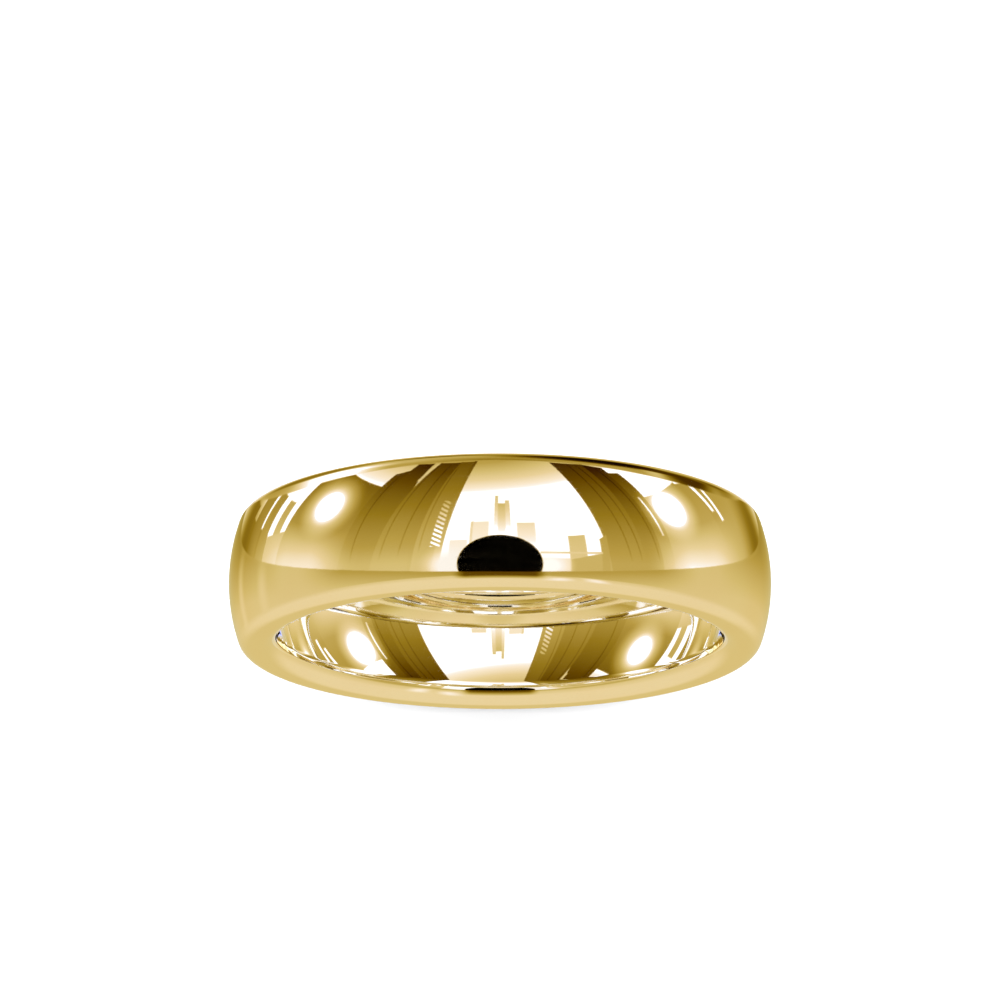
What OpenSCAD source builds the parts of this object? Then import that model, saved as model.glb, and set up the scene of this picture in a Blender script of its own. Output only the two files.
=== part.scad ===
// Wedding band: a plain court-shaped ring, domed outside, flat at its sides and softly hollow inside.
//
// The finger passes along Y through the origin, which is the centre of the finger hole. Z is up when
// the band stands on its rim, so the band is symmetric about all three planes through the origin.
// One profile, the section through the wall, is turned once about the finger axis.

/* [Finger] */
// Diameter across the lips of the finger hole, its narrowest place
finger_d = 16.3; // [14:0.1:23]
// Width of the band along the finger
band_w = 5; // [3.5:0.1:8]

/* [Wall] */
// Wall thickness from the lips of the finger hole to the crest of the dome
wall_t = 1.88; // [1.7:0.01:2.4]
// Radius of the arc that domes the outer face across the band's width
dome_r = 6.7; // [5.5:0.1:12]
// Radius of the arc that hollows the inner face across the band's width
hollow_r = 6.7; // [5.5:0.1:20]

/* [Edges] */
// Radius that rounds the dome into each side face
outer_edge_r = 0.54; // [0.2:0.01:0.6]
// Radius that rounds each side face into the finger hole
lip_r = 0.65; // [0.2:0.01:0.7]

/* [Hidden] */
$fn = 180;

gold = [0.86, 0.70, 0.38];
crest_r = finger_d / 2 + wall_t;

// Centres in the section: x is the distance from the finger axis and y the place along the finger.
dome_centre = [crest_r - dome_r, 0];
outer_edge_y = band_w / 2 - outer_edge_r;
outer_edge_centre = dome_centre + [leg(dome_r - outer_edge_r, outer_edge_y), outer_edge_y];
lip_centre = [finger_d / 2 + lip_r, band_w / 2 - lip_r];
hollow_centre = [lip_centre[0] - leg(hollow_r + lip_r, lip_centre[1]), 0];

// Point where the lines from the dome's centre through the outer edges have cleared the crest
dome_reach = dome_r / (outer_edge_centre[0] - dome_centre[0]) * 1.05;
beyond_dome = dome_centre + (outer_edge_centre - dome_centre) * dome_reach;

// Second short side of a right triangle, from its long side and its first short side
function leg(long_side, side) = sqrt(long_side ^ 2 - side ^ 2);

// The same point on the other half of the band's width
function mirrored(point) = [point[0], -point[1]];

// Draws a round edge at a centre and at the mirrored one.
module edge_pair(centre, radius) {
    for (place = [centre, mirrored(centre)]) translate(place) circle(r = radius);
}

// Wall between the four round edges: each line of the outline meets its arc at a right angle,
// where the arc passes smoothly into the round edge.
module web() {
    near_side = [
        [outer_edge_centre[0], band_w / 2],
        outer_edge_centre,
        beyond_dome,
    ];
    inner_side = [
        [lip_centre[0], band_w / 2],
        lip_centre,
        hollow_centre,
    ];
    difference() {
        intersection() {
            translate(dome_centre) circle(r = dome_r);
            polygon(concat(
                near_side,
                [for (i = [2:-1:0]) mirrored(near_side[i])],
                [for (i = [0:1]) mirrored(inner_side[i])],
                [for (i = [2:-1:0]) inner_side[i]]
            ));
        }
        translate(hollow_centre) circle(r = hollow_r);
    }
}

module section() {
    union() {
        web();
        edge_pair(outer_edge_centre, outer_edge_r);
        edge_pair(lip_centre, lip_r);
    }
}

module band() {
    color(gold) rotate([90, 0, 0]) rotate_extrude() section();
}

band();
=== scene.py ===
"""A plain court-shaped wedding band in polished yellow gold.

The band stands on its rim with the finger axis along Y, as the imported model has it, and the camera
looks down on it from 15 degrees in front of the vertical. Polished gold shows what stands round it,
so the studio is most of the look: pale and brown cards, two soft lamps, a ceiling and a round black
lens hood, all drawn by the world's nodes as directions seen from the band. Only mirror rays see them,
and matt surfaces get plain white light.
"""

import math

import bpy
from mathutils import Matrix, Vector


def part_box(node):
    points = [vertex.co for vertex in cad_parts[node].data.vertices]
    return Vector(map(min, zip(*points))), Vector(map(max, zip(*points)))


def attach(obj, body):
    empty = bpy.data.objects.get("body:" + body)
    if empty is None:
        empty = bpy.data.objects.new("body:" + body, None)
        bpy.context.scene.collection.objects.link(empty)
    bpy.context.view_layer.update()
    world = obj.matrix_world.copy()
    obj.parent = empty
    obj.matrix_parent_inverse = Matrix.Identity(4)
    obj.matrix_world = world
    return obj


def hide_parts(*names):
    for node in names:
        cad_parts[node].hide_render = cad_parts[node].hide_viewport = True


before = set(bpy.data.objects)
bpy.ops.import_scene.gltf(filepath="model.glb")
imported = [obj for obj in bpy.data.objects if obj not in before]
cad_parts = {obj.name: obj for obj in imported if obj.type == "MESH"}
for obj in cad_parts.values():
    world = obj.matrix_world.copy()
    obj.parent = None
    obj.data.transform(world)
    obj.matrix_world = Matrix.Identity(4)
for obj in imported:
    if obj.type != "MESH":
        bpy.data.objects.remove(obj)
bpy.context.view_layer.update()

MM = 0.001

# The band's section, in metres: the same driving sizes as the CAD solid
FINGER_RADIUS = 8.15 * MM
DOME_RADIUS = 6.7 * MM
HOLLOW_RADIUS = 6.7 * MM
OUTER_EDGE_RADIUS = 0.54 * MM
LIP_RADIUS = 0.65 * MM
band_low, band_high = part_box("band")
CREST_RADIUS = (band_high.x - band_low.x) / 2
HALF_WIDTH = (band_high.y - band_low.y) / 2

# Mesh density: steps round the band, and steps along each stretch of the section
STEPS_ROUND = 432
DOME_STEPS = 32
OUTER_EDGE_STEPS = 12
SIDE_STEPS = 2
LIP_STEPS = 14
HOLLOW_STEPS = 24

# Camera: degrees up, lens in millimetres, and distances in crest radii, fitted to the outline
CAMERA_ELEVATION = 75.03
CAMERA_LENS_MM = 350.9
SENSOR_MM = 36.0
CAMERA_DISTANCE = 35.95
BAND_BELOW_CENTRE = 0.31

# Polished yellow gold, as linear colours: the mean, its two shades, and its worn edges
GOLD = (1.0, 0.775, 0.39)
DEEP_GOLD = (0.99, 0.760, 0.378)
BRIGHT_GOLD = (1.0, 0.790, 0.402)
WORN_GOLD = (1.0, 0.810, 0.450)

# Sizes of the gold's grains, and its roughness: at its smoothest, its dullest, and what wear adds
HAIRLINE_SIZE = 0.1 * MM
HAIRLINE_DEPTH = 0.00016 * MM
HAIRLINE_LENGTHENING = 0.4 * MM
CLOUD_SIZE = 2.5 * MM
SPECK_SIZE = 0.15 * MM
SMOOTHEST = 0.015
DULLEST = 0.050
WORN_ROUGHNESS = 0.035

# Wear is whole this near to the middle of an edge, and gone at this distance
WORN_WITHIN = 0.1 * MM
WORN_REACH = 0.5 * MM


# ---------------------------------------------------------------- node helpers


class Graph:
    """A node tree with short ways to add what the gold and the studio are made of."""

    def __init__(self, tree):
        self.tree = tree
        tree.nodes.clear()

    def add(self, kind, **settings):
        node = self.tree.nodes.new(kind)
        for name, value in settings.items():
            setattr(node, name, value)
        return node

    def feed(self, socket, source):
        """A source is another node's output, or a plain value."""
        if isinstance(source, bpy.types.NodeSocket):
            self.tree.links.new(source, socket)
        else:
            socket.default_value = source

    def math(self, operation, *sources):
        node = self.add("ShaderNodeMath", operation=operation)
        for socket, source in zip(node.inputs, sources):
            self.feed(socket, source)
        return node.outputs[0]

    def vector(self, operation, *sources):
        node = self.add("ShaderNodeVectorMath", operation=operation)
        for socket, source in zip(node.inputs, sources):
            self.feed(socket, source)
        scalar = operation in ("DOT_PRODUCT", "LENGTH", "DISTANCE")
        return node.outputs["Value" if scalar else "Vector"]

    def slope(self, source, low, high, at_low=0.0, at_high=1.0, smooth=False):
        """Value that goes from at_low to at_high as the source goes from low to high, and stays."""
        kind = "SMOOTHSTEP" if smooth else "LINEAR"
        node = self.add("ShaderNodeMapRange", interpolation_type=kind)
        for socket, value in zip(node.inputs, (source, low, high, at_low, at_high)):
            self.feed(socket, value)
        return node.outputs[0]

    def step(self, source, edge, softness):
        """0 before the edge and 1 after it."""
        return self.slope(source, edge - softness, edge + softness, smooth=True)

    def blend(self, mask, under, over):
        """The value over where the mask is 1, and under where it is 0."""
        node = self.add("ShaderNodeMix", data_type="FLOAT")
        for socket, value in zip(node.inputs, (mask, None, under, over)):
            if value is not None:
                self.feed(socket, value)
        return node.outputs[0]

    def mix_colour(self, mask, under, over):
        """The colour over where the mask is 1, and under where it is 0."""
        node = self.add("ShaderNodeMix", data_type="RGBA")
        self.feed(node.inputs[0], mask)
        for socket, colour in zip(node.inputs[6:8], (under, over)):
            self.feed(socket, (*colour, 1.0) if isinstance(colour, tuple) else colour)
        return node.outputs[2]

    def noise(self, place, size, detail):
        """Noise from 0 to 1, its grains about one size across, at a place or three coordinates."""
        node = self.add("ShaderNodeTexNoise")
        if isinstance(place, tuple):
            joined = self.add("ShaderNodeCombineXYZ")
            for socket, source in zip(joined.inputs, place):
                self.feed(socket, source)
            place = joined.outputs[0]
        self.feed(node.inputs["Vector"], place)
        node.inputs["Scale"].default_value = 1 / size
        node.inputs["Detail"].default_value = detail
        return node.outputs["Fac"]

    def near(self, across, along, point):
        """1 close to a point of the band's section, and 0 past the reach of wear."""
        pairs = zip((across, along), point)
        offsets = [self.math("SUBTRACT", here, there) for here, there in pairs]
        squares = [self.math("MULTIPLY", offset, offset) for offset in offsets]
        away = self.math("SQRT", self.math("ADD", *squares))
        return self.slope(away, WORN_WITHIN, WORN_REACH, 1.0, 0.0, smooth=True)

    def colour_ramp(self, source, stops):
        node = self.add("ShaderNodeValToRGB")
        elements = node.color_ramp.elements
        while len(elements) < len(stops):
            elements.new(1.0)
        for element, (place, colour) in zip(elements, stops):
            element.position = place
            element.color = (*colour, 1.0)
        self.feed(node.inputs[0], source)
        return node.outputs[0]


# ---------------------------------------------------------------- the band


def arc(centre, radius, start, end, steps, facing=1.0):
    """Points along an arc of the section, without its last one, each with its outward normal."""
    points = []
    for step in range(steps):
        angle = start + (end - start) * step / steps
        across, along = math.cos(angle), math.sin(angle)
        place = (centre[0] + radius * across, centre[1] + radius * along)
        points.append((place, (facing * across, facing * along)))
    return points


def band_section():
    """The closed section: (distance from the finger axis, place along the finger) and normals."""
    dome_centre = CREST_RADIUS - DOME_RADIUS
    edge_y = HALF_WIDTH - OUTER_EDGE_RADIUS
    edge_offset = math.sqrt((DOME_RADIUS - OUTER_EDGE_RADIUS) ** 2 - edge_y**2)
    edge_centre = (dome_centre + edge_offset, edge_y)
    dome_end = math.atan2(edge_y, edge_offset)

    lip_centre = (FINGER_RADIUS + LIP_RADIUS, HALF_WIDTH - LIP_RADIUS)
    lip_offset = math.sqrt((HOLLOW_RADIUS + LIP_RADIUS) ** 2 - lip_centre[1] ** 2)
    hollow_centre = lip_centre[0] - lip_offset
    hollow_end = math.atan2(lip_centre[1], lip_offset)

    half = arc((dome_centre, 0.0), DOME_RADIUS, 0.0, dome_end, DOME_STEPS)
    half += arc(edge_centre, OUTER_EDGE_RADIUS, dome_end, math.pi / 2, OUTER_EDGE_STEPS)
    for step in range(SIDE_STEPS):
        across = edge_centre[0] + (lip_centre[0] - edge_centre[0]) * step / SIDE_STEPS
        half.append(((across, HALF_WIDTH), (0.0, 1.0)))
    half += arc(lip_centre, LIP_RADIUS, math.pi / 2, math.pi + hollow_end, LIP_STEPS)
    half += arc((hollow_centre, 0.0), HOLLOW_RADIUS, hollow_end, 0.0, HOLLOW_STEPS, -1.0)

    middle = ((hollow_centre + HOLLOW_RADIUS, 0.0), (-1.0, 0.0))
    other_half = [((x, -y), (nx, -ny)) for (x, y), (nx, ny) in reversed(half[1:])]
    return half + [middle] + other_half


def make_band():
    """The section turned round the finger axis, with the exact normals of its arcs."""
    section = band_section()
    vertices, normals, faces = [], [], []
    for step in range(STEPS_ROUND):
        turn = 2 * math.pi * step / STEPS_ROUND
        side, up = math.cos(turn), math.sin(turn)
        for (across, along), (out, sideways) in section:
            vertices.append((across * side, along, across * up))
            normals.append((out * side, sideways, out * up))
    count = len(section)
    for step in range(STEPS_ROUND):
        here, there = step * count, (step + 1) % STEPS_ROUND * count
        for place in range(count):
            after = (place + 1) % count
            faces.append((here + place, here + after, there + after, there + place))
    mesh = bpy.data.meshes.new("polished_band")
    mesh.from_pydata(vertices, [], faces)
    mesh.shade_smooth()
    mesh.normals_split_custom_set_from_vertices(normals)
    piece = bpy.data.objects.new("polished_band", mesh)
    bpy.context.scene.collection.objects.link(piece)
    return piece


def edge_points():
    """Where the section is most worn: in the middle of the outer rounding, and of the lip."""
    lip_start = DOME_STEPS + OUTER_EDGE_STEPS + SIDE_STEPS
    section = band_section()
    return [
        section[DOME_STEPS + OUTER_EDGE_STEPS // 2][0],
        section[lip_start + LIP_STEPS // 3][0],
    ]


def make_gold():
    """Polished gold: hairlines round the band, and edges worn a little paler and softer."""
    material = bpy.data.materials.new("polished_gold")
    material.use_nodes = True
    graph = Graph(material.node_tree)
    place = graph.add("ShaderNodeTexCoord").outputs["Object"]
    parts = graph.add("ShaderNodeSeparateXYZ")
    graph.feed(parts.inputs[0], place)
    right, along, up = parts.outputs
    along = graph.math("ABSOLUTE", along)
    up_squared = graph.math("MULTIPLY", up, up)
    across = graph.math("SQRT", graph.math("MULTIPLY_ADD", right, right, up_squared))
    turn = graph.math("ARCTAN2", right, up)

    round_band = graph.math("MULTIPLY", turn, HAIRLINE_LENGTHENING)
    hairlines = graph.noise((along, across, round_band), HAIRLINE_SIZE, 3)
    clouds = graph.noise(place, CLOUD_SIZE, 2)
    specks = graph.noise(place, SPECK_SIZE, 2)
    worn = graph.math("MAXIMUM", *(graph.near(across, along, point) for point in edge_points()))
    worn = graph.math("MULTIPLY", worn, graph.slope(specks, 0.35, 0.75, 0.5, 1.0))

    shader = graph.add("ShaderNodeBsdfPrincipled")
    shader.inputs["Metallic"].default_value = 1.0
    shader.inputs["Specular Tint"].default_value = (1.0, 0.92, 0.70, 1.0)
    gold = graph.mix_colour(graph.slope(clouds, 0.3, 0.7), DEEP_GOLD, BRIGHT_GOLD)
    gold = graph.mix_colour(graph.math("MULTIPLY", worn, 0.5), gold, WORN_GOLD)
    graph.feed(shader.inputs["Base Color"], gold)
    polish = graph.slope(hairlines, 0.3, 0.75, SMOOTHEST, DULLEST)
    rough = graph.math("MULTIPLY_ADD", worn, WORN_ROUGHNESS, polish)
    graph.feed(shader.inputs["Roughness"], rough)

    bump = graph.add("ShaderNodeBump")
    bump.inputs["Strength"].default_value = 1.0
    bump.inputs["Distance"].default_value = HAIRLINE_DEPTH
    graph.feed(bump.inputs["Height"], graph.math("MULTIPLY_ADD", specks, worn, hairlines))
    graph.feed(shader.inputs["Normal"], bump.outputs[0])
    output = graph.add("ShaderNodeOutputMaterial")
    graph.feed(output.inputs["Surface"], shader.outputs[0])
    return material


# ---------------------------------------------------------------- the studio

# A tone says how bright a card looks in polished gold, from 0 for black to 1 for white. Beside each
# is the linear colour that the gold then shows: dark cards are warm brown, bright ones daylight.
# The colours are rounded from samples of the real ring's.
TONES = [
    (0.00, (0.00, 0.00, 0.00)),
    (0.10, (0.04, 0.01, 0.00)),
    (0.20, (0.13, 0.06, 0.00)),
    (0.35, (0.30, 0.18, 0.01)),
    (0.50, (0.49, 0.33, 0.06)),
    (0.65, (0.66, 0.49, 0.16)),
    (0.80, (0.82, 0.63, 0.31)),
    (0.92, (0.97, 0.82, 0.61)),
    (1.00, (1.00, 1.00, 1.00)),
]
WHITE_STRENGTH = 1.3

# Plain white light that falls on the floor, and the floor itself, 3 metres across
PLAIN_STRENGTH = 2.15
FLOOR_SIZE = 3000 * MM
FLOOR_CLOUD_SIZE = 60 * MM
FLOOR_TOOTH_SIZE = 0.4 * MM
FLOOR_TOOTH_DEPTH = 0.01 * MM
FLOOR_SHADE = (0.872, 0.872, 0.872)
FLOOR_LIGHT = (0.888, 0.888, 0.888)

# Upright cards round the band, far ones first, as seen from it in degrees: round from the camera,
# positive to the right, and up. Each has its left foot, its top corners, its right foot, and its
# tones at the foot and at the top. They stand where the real ring's reflections show such shapes.
CARDS = [
    # left, behind: low cards and posts in front of the open sky
    (-151, (-151, 13), (-143, 14), -143, 0.44, 0.35),
    (-139.5, (-139.5, 20), (-131, 24), -131, 0.50, 0.38),
    (-130, (-129, 23.5), (-122.5, 23.5), -123, 0.50, 0.42),
    (-118.5, (-118, 23.5), (-113, 24), -113.5, 0.66, 0.54),
    (-129, (-129, 18), (-122.5, 11), -119, 0.52, 0.46),
    (-122, (-122, 10.5), (-109, 14), -109, 0.78, 0.62),
    # left: broad cards behind the lamp, then tall dark ones
    (-111, (-107.5, 37), (-94, 43.5), -93, 0.60, 0.26),
    (-96, (-96, 43.5), (-66, 42), -60, 0.60, 0.24),
    (-72, (-67, 50), (-59, 54.5), -56, 0.57, 0.12),
    (-63, (-60.5, 58), (-50, 60.5), -45, 0.56, 0.09),
    (-56, (-46, 61.5), (-30, 64), -35, 0.60, 0.13),
    (-37.5, (-31.5, 64), (-19, 65.5), -25.5, 0.67, 0.20),
    (-28.5, (-21, 65.5), (-19, 65.5), -25.5, 0.74, 0.17),
    # in front: narrow cards on both sides of the camera
    (-21.5, (-21.5, 13.5), (-14, 14), -14, 0.96, 0.93),
    (-13, (-13, 25), (-5, 25.5), -5, 0.99, 0.89),
    (-13, (-13, 25), (-12, 25.5), -12, 0.90, 0.80),
    (-2.5, (-2.5, 37), (4.5, 37), 5, 1.35, 0.62),
    (-2.5, (-2.5, 42), (-1, 42), -1, 1.35, 0.66),
    (2.5, (2.5, 39), (4.5, 39), 4.5, 1.35, 0.70),
    (7.5, (7.5, 24.5), (15.5, 24.5), 15.5, 1.10, 0.84),
    (17, (17, 2.5), (31, 2.5), 31, 0.86, 0.88),
    (29.5, (29.5, 16), (37, 16.5), 37, 0.75, 0.68),
    (30, (30, 2), (50, 7.5), 50, 0.60, 0.60),
    # right: tall dark cards and stepped ones, then broad cards behind the lamp
    (47.5, (39.5, 63), (61, 58), 66, 0.54, 0.10),
    (43.5, (43.5, 14), (47, 16.5), 47, 0.56, 0.50),
    (64, (60, 58), (70.5, 53.5), 74, 0.54, 0.06),
    (73, (69.5, 50), (76.5, 48.5), 80, 0.62, 0.16),
    (79, (77.5, 34.5), (104, 35.5), 106, 0.64, 0.45),
    (103, (102, 35), (111.5, 33), 120, 0.64, 0.45),
    (116.5, (111, 34), (160, 34), 170, 0.64, 0.42),
]

# Half the width of a card's soft edge, and of the sharper edges of the rest, in degrees
CARD_EDGE = 0.35
HOOD_EDGE = 0.3
CEILING_SOFTNESS = 0.4
FLOOR_LINE_EDGE = 0.3

# Bright gaps between the cards: the same corners, and a foot that hangs above the floor
GAPS = [
    ((-131, 18.5), (-131, 30), (-129, 30), (-129.5, 18.5), 1.0),
    ((-50, 48.5), (-47.5, 60.5), (-46.5, 60.5), (-48.5, 48.5), 0.72),
    ((75.5, 15), (73.5, 35), (74.5, 35), (76.5, 15), 0.86),
    ((115, 20), (111.5, 33), (114, 33), (117, 20), 1.0),
    ((119, 16), (117.5, 34), (119, 34), (121, 16), 1.0),
    ((17, 5.5), (17, 6.5), (44, 6.5), (44, 5.5), 0.78),
]

# Two soft lamps in front of the side cards: degrees round, degrees up
LAMPS = [(-89, 28), (87.5, 27)]

# The round lens hood that the camera looks through: degrees up, and its radius in degrees
HOOD_HEIGHT = -0.9
HOOD_RADIUS = 17.8

# Streaks of daylight in the floor: degrees round and up, lean, reach to each side and tone
STREAKS = [
    (26, -35, 0, 9, 0.93),
    (41.5, -28, -0.25, 9, 0.93),
    (-121, -12, 0, 6, 0.76),
    (-144, -12, 0, 5, 0.78),
]

# Fine joints between the boards of the tall cards: foot and top, in degrees round and up
JOINTS = [
    ((-52, 4), (-45, 60)),
    ((-43.5, 6), (-37.5, 60)),
    ((-34.5, 8), (-30.5, 60)),
    ((-66, 4), (-63.5, 48)),
    ((57, 4), (50.5, 59)),
    ((62, 4), (56, 57)),
    ((71, 4), (66, 53)),
]

# Degrees: the floor's far line drops towards the camera, and the round ceiling leans away from it.
FLOOR_TILT = 6.0
CEILING_LEAN = 29.4
CEILING_EDGE = 52.4


def heading(degrees_round, degrees_up):
    """Unit vector in the studio's own frame: X right, Y up, Z towards the camera."""
    turn, rise = math.radians(degrees_round), math.radians(degrees_up)
    flat = math.cos(rise)
    return (flat * math.sin(turn), math.sin(rise), flat * math.cos(turn))


class Studio(Graph):
    """The world's tree. It draws tones on top of each other by the direction looked in."""

    def __init__(self, tree):
        super().__init__(tree)
        seen = self.add("ShaderNodeTexCoord").outputs["Generated"]
        tilt = self.add("ShaderNodeVectorRotate", rotation_type="X_AXIS")
        self.feed(tilt.inputs["Vector"], seen)
        self.feed(tilt.inputs["Angle"], -math.radians(90 - CAMERA_ELEVATION))
        self.direction = tilt.outputs[0]
        parts = self.add("ShaderNodeSeparateXYZ")
        self.feed(parts.inputs[0], self.direction)
        right, up, towards = parts.outputs
        self.round = self.math("DEGREES", self.math("ARCTAN2", right, towards))
        self.up = self.math("DEGREES", self.math("ARCSINE", up))
        self.sideways = self.math("ABSOLUTE", self.round)
        self.tone = None

    def away_from(self, degrees_round, degrees_up):
        """Degrees between the direction looked in and a given one."""
        nearness = self.vector("DOT_PRODUCT", self.direction, heading(degrees_round, degrees_up))
        return self.math("DEGREES", self.math("ARCCOSINE", nearness))

    def paint(self, mask, tone):
        self.tone = self.blend(mask, self.tone, tone)

    def patch(self, degrees_round, degrees_up, core, reach, tone):
        """A soft round patch, whole inside core and gone at reach, both in degrees."""
        away = self.away_from(degrees_round, degrees_up)
        self.paint(self.slope(away, core, reach, 1.0, 0.0, smooth=True), tone)

    def right_of(self, low, high):
        """Degrees to the right of the line through two points, given as (round, up)."""
        lean = (high[0] - low[0]) / (high[1] - low[1])
        line = self.math("MULTIPLY_ADD", self.up, lean, low[0] - lean * low[1])
        return self.math("SUBTRACT", self.round, line)

    def below(self, left, right):
        """Degrees under the line through two points, given as (round, up)."""
        climb = (right[1] - left[1]) / (right[0] - left[0])
        line = self.math("MULTIPLY_ADD", self.round, climb, left[1] - climb * left[0])
        return self.math("SUBTRACT", line, self.up)

    def upright(self, foot_left, top_left, top_right, foot_right):
        """Mask of an upright shape with a level foot."""
        from_left = self.right_of(foot_left, top_left)
        from_right = self.math("MULTIPLY", self.right_of(foot_right, top_right), -1.0)
        depth = self.math("MINIMUM", from_left, from_right)
        depth = self.math("MINIMUM", depth, self.below(top_left, top_right))
        above_foot = self.math("SUBTRACT", self.up, foot_left[1])
        if foot_left[1] > 0:
            depth = self.math("MINIMUM", depth, above_foot)
        return self.step(depth, 0.0, CARD_EDGE)

    def card(self, foot_left, top_left, top_right, foot_right, tone_foot, tone_top):
        mask = self.upright((foot_left, 0), top_left, top_right, (foot_right, 0))
        height = max(top_left[1], top_right[1])
        self.paint(mask, self.slope(self.up, 0, height, tone_foot, tone_top))

    def lamp(self, degrees_round, degrees_up):
        """White core with a halo that lifts what is behind it."""
        away = self.away_from(degrees_round, degrees_up)
        halo = self.slope(away, 7, 17, 0.35, 0.0, smooth=True)
        core = self.slope(away, 2, 11, 0.6, 0.0, smooth=True)
        self.tone = self.math("ADD", self.tone, self.math("ADD", halo, core))


def draw_sky(studio):
    """Open white sky, dimming towards the ceiling."""
    lean = studio.slope(studio.round, -20, 80, 2.0, -8.0)
    studio.tone = studio.slope(studio.math("ADD", studio.up, lean), 45, 66, 1.0, 0.50)


def draw_far_base(studio):
    """Low brown wall along the left and behind, in front of which the left cards stand."""
    studio.card(-181, (-181, 11), (-128, 11.5), -128, 0.48, 0.42)


def draw_joints(studio):
    """Thin darker lines that break up the tall cards."""
    for foot, top in JOINTS:
        aside = studio.math("ABSOLUTE", studio.right_of(foot, top))
        line = studio.slope(aside, 0.15, 0.55, 0.07, 0.0, smooth=True)
        for edge, above in ((foot[1], 1), (top[1], 0)):
            inside = studio.slope(studio.up, edge - 3, edge + 3, 1 - above, above)
            line = studio.math("MULTIPLY", line, inside)
        studio.tone = studio.math("SUBTRACT", studio.tone, line)


def draw_slats(studio):
    """Bright slanting slats in the last of the tall left cards."""
    slant = studio.math("MULTIPLY_ADD", studio.round, 0.55, studio.up)
    beat = studio.math("PINGPONG", slant, 1.35)
    slat = studio.slope(beat, 0.5, 0.8)
    panel = studio.upright((-30, 9.5), (-28, 38), (-24.5, 38), (-25.5, 9.5))
    fade = studio.slope(studio.up, 20, 38, 1.0, 0.35)
    mask = studio.math("MULTIPLY", studio.math("MULTIPLY", slat, panel), fade)
    studio.paint(mask, 1.0)


def draw_skirts(studio):
    """Daylight and haze low along the sides, and a dark patch behind on each side."""
    low = studio.slope(studio.up, 0, 18, 1.0, 0.0)
    near = studio.slope(studio.math("SUBTRACT", studio.sideways, 98), 5, 34, 1.0, 0.0, smooth=True)
    behind = studio.slope(studio.sideways, 64, 90, 0.0, 1.0, smooth=True)
    lift = studio.math("MULTIPLY", studio.math("MULTIPLY", low, near), behind)
    studio.paint(lift, 0.98)
    haze = studio.slope(studio.up, -4, 11, 0.35, 0.0, smooth=True)
    on_left = studio.slope(studio.round, -30, -40)
    studio.paint(studio.math("MULTIPLY", haze, on_left), 0.80)
    studio.patch(-21, -2, 4, 15, 0.96)
    studio.patch(21, -2, 3, 12, 0.97)
    studio.patch(151, 4, 6, 24, 0.30)
    studio.patch(-151, 3, 6, 22, 0.30)


def draw_ceiling(studio):
    """Dull gold ceiling with a pale opening behind and a dark screen on the right."""
    side = studio.slope(studio.sideways, 20, 110, 0.34, 0.60)
    rest = studio.tone
    studio.tone = studio.blend(studio.slope(studio.up, 66, 86), side, 0.40)
    studio.patch(180, 68, 6, 30, 0.53)
    studio.patch(-108, 41, 10, 24, 1.0)
    studio.patch(-146, 33, 8, 22, 0.32)
    studio.patch(-166, 53, 3, 13, 0.26)
    studio.patch(103, 44, 2, 8, 0.85)
    studio.patch(129, 60, 10, 32, 0.02)
    studio.patch(122, 37, 8, 18, 0.13)
    studio.patch(140, 27, 3, 16, 0.24)
    away = studio.away_from(180, 90 - CEILING_LEAN)
    near, far = CEILING_EDGE - CEILING_SOFTNESS, CEILING_EDGE + CEILING_SOFTNESS
    inside = studio.slope(away, near, far, 1.0, 0.0, smooth=True)
    ceiling, studio.tone = studio.tone, rest
    studio.paint(inside, ceiling)
    studio.patch(180, 0, 12, 34, 0.90)


def draw_floor(studio):
    """Pale floor with the lens hood's soft image in it, streaks of daylight, and painted shade behind
    the band where its contact shadow would lie.
    """
    tilt = studio.vector("DOT_PRODUCT", studio.direction, heading(0, 90 - FLOOR_TILT))
    depth = studio.math("MULTIPLY", studio.math("DEGREES", studio.math("ARCSINE", tilt)), -1.0)
    rest = studio.tone
    beside = studio.slope(studio.sideways, 68, 95, 0.49, 0.68, smooth=True)
    # Painted shade: the floor darkens along its far line behind the band, on both sides.
    corner = studio.slope(studio.sideways, 105, 150, 0.0, 0.26)
    at_line = studio.math("SUBTRACT", beside, corner)
    near = studio.blend(studio.slope(depth, 1, 11), at_line, 0.71)
    far = studio.slope(depth, 11, 34, 0.0, 0.09)
    studio.tone = studio.math("ADD", near, far)
    # Painted shadow: a darker patch of floor behind and below the band, where its contact shadow
    # would lie.
    studio.patch(180, -24, 8, 34, 0.69)
    for place_round, place_up, lean, reach, tone in STREAKS:
        line = studio.right_of((place_round, place_up), (place_round + lean, place_up + 1))
        aside = studio.math("ABSOLUTE", line)
        along = studio.math("ABSOLUTE", studio.math("SUBTRACT", studio.up, place_up))
        across = studio.slope(aside, 0, reach, 1.0, 0.0, smooth=True)
        length = studio.slope(along, 3, 20, 1.0, 0.0, smooth=True)
        studio.paint(studio.math("MULTIPLY", across, length), tone)
    image = studio.slope(depth, 6, 36, 0.18, 0.80)
    in_image = studio.slope(studio.sideways, 14, 20.5, 1.0, 0.0, smooth=True)
    studio.paint(in_image, studio.math("MINIMUM", studio.tone, image))
    floor, studio.tone = studio.tone, rest
    studio.paint(studio.step(depth, 0.0, FLOOR_LINE_EDGE), floor)


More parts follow.
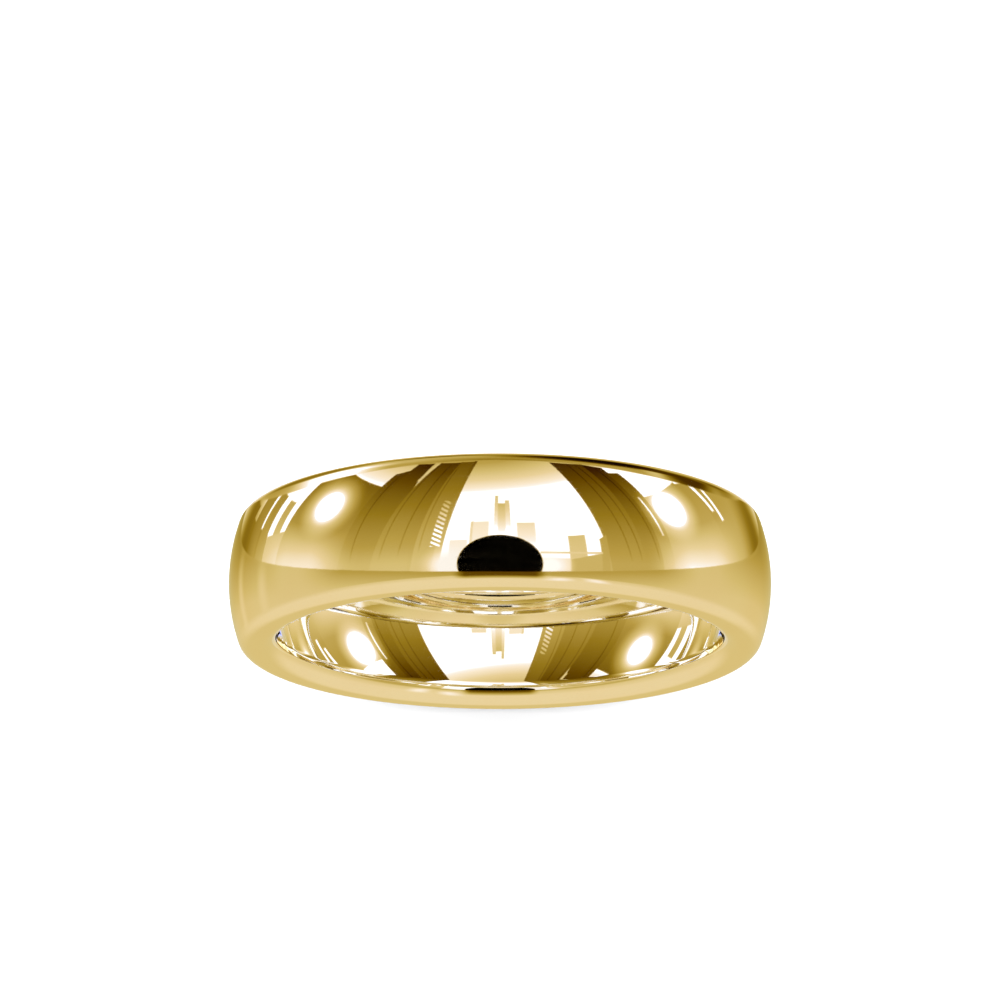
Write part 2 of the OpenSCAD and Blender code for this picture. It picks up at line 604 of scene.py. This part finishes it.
def make_studio():
    """World light: the gold reflects what is drawn here, and all else gets plain white."""
    world = bpy.data.worlds.new("studio")
    bpy.context.scene.world = world
    world.use_nodes = True
    studio = Studio(world.node_tree)
    draw_sky(studio)
    draw_far_base(studio)
    for card in CARDS:
        studio.card(*card)
    draw_joints(studio)
    draw_slats(studio)
    for *corners, tone in GAPS:
        studio.paint(studio.upright(*corners), tone)
    for place in LAMPS:
        studio.lamp(*place)
    draw_skirts(studio)
    draw_ceiling(studio)
    hood = studio.away_from(0, HOOD_HEIGHT)
    studio.paint(
        studio.slope(
            hood, HOOD_RADIUS - HOOD_EDGE, HOOD_RADIUS + HOOD_EDGE, 1.0, 0.0, smooth=True
        ),
        0.0,
    )
    draw_floor(studio)

    # Gold colours the light at each reflection. The light is divided by the gold's colour as often,
    # a little less after four reflections, so that the band shows the tones' own colours. A real
    # studio can't do this.
    rays = studio.add("ShaderNodeLightPath")
    reflections = studio.math("MAXIMUM", rays.outputs["Glossy Depth"], 1.0)
    late = studio.math("MULTIPLY_ADD", reflections, 0.6, 1.6)
    reflections = studio.math("MINIMUM", reflections, late)
    tint = studio.add("ShaderNodeCombineXYZ")
    for socket, share in zip(tint.inputs, GOLD):
        studio.feed(socket, studio.math("POWER", share, reflections))
    light = studio.vector("DIVIDE", studio.colour_ramp(studio.tone, TONES), tint.outputs[0])
    background = studio.add("ShaderNodeBackground")
    studio.feed(background.inputs["Color"], light)
    strength = studio.slope(studio.tone, 0.96, 1.0, 1.0, WHITE_STRENGTH)
    studio.feed(background.inputs["Strength"], strength)

    plain = studio.add("ShaderNodeBackground")
    plain.inputs["Color"].default_value = (1.0, 1.0, 1.0, 1.0)
    plain.inputs["Strength"].default_value = PLAIN_STRENGTH
    mix = studio.add("ShaderNodeMixShader")
    studio.feed(mix.inputs[0], rays.outputs["Is Glossy Ray"])
    studio.feed(mix.inputs[1], plain.outputs[0])
    studio.feed(mix.inputs[2], background.outputs[0])
    output = studio.add("ShaderNodeOutputWorld")
    studio.feed(output.inputs["Surface"], mix.outputs[0])


def make_floor_paint():
    """Matt white board, with a faint tooth and hardly any change of shade."""
    material = bpy.data.materials.new("pale_floor")
    material.use_nodes = True
    graph = Graph(material.node_tree)
    place = graph.add("ShaderNodeTexCoord").outputs["Object"]
    clouds = graph.noise(place, FLOOR_CLOUD_SIZE, 2)
    tooth = graph.noise(place, FLOOR_TOOTH_SIZE, 2)
    shader = graph.add("ShaderNodeBsdfPrincipled")
    shader.inputs["Specular IOR Level"].default_value = 0.0
    shade = graph.slope(clouds, 0.3, 0.7)
    graph.feed(shader.inputs["Base Color"], graph.mix_colour(shade, FLOOR_SHADE, FLOOR_LIGHT))
    graph.feed(shader.inputs["Roughness"], graph.slope(tooth, 0.3, 0.7, 0.85, 0.95))
    bump = graph.add("ShaderNodeBump")
    bump.inputs["Strength"].default_value = 0.2
    bump.inputs["Distance"].default_value = FLOOR_TOOTH_DEPTH
    graph.feed(bump.inputs["Height"], tooth)
    graph.feed(shader.inputs["Normal"], bump.outputs[0])
    output = graph.add("ShaderNodeOutputMaterial")
    graph.feed(output.inputs["Surface"], shader.outputs[0])
    return material


def make_floor():
    half = FLOOR_SIZE / 2
    mesh = bpy.data.meshes.new("floor")
    corners = [(-half, -half), (half, -half), (half, half), (-half, half)]
    mesh.from_pydata([(x, y, -CREST_RADIUS) for x, y in corners], [], [(0, 1, 2, 3)])
    floor = bpy.data.objects.new("floor", mesh)
    bpy.context.scene.collection.objects.link(floor)
    floor.visible_glossy = False
    mesh.materials.append(make_floor_paint())


def make_camera():
    tilt = math.radians(90 - CAMERA_ELEVATION)
    image_right = Vector((1, 0, 0))
    image_up = Vector((0, math.cos(tilt), math.sin(tilt)))
    back = image_right.cross(image_up)
    place = (image_up * BAND_BELOW_CENTRE + back * CAMERA_DISTANCE) * CREST_RADIUS
    camera = bpy.data.objects.new("camera", bpy.data.cameras.new("camera"))
    camera.data.sensor_width = SENSOR_MM
    camera.data.lens = CAMERA_LENS_MM
    camera.matrix_world = Matrix.LocRotScale(
        place, Matrix((image_right, image_up, back)).transposed(), None
    )
    bpy.context.scene.collection.objects.link(camera)
    bpy.context.scene.camera = camera


make_camera()
band = make_band()
band.data.materials.append(make_gold())
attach(band, "root")
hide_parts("band")
make_studio()
make_floor()
bpy.context.scene.view_settings.view_transform = "Standard"
bpy.context.scene.cycles.caustics_reflective = False
bpy.context.scene.cycles.glossy_bounces = 8
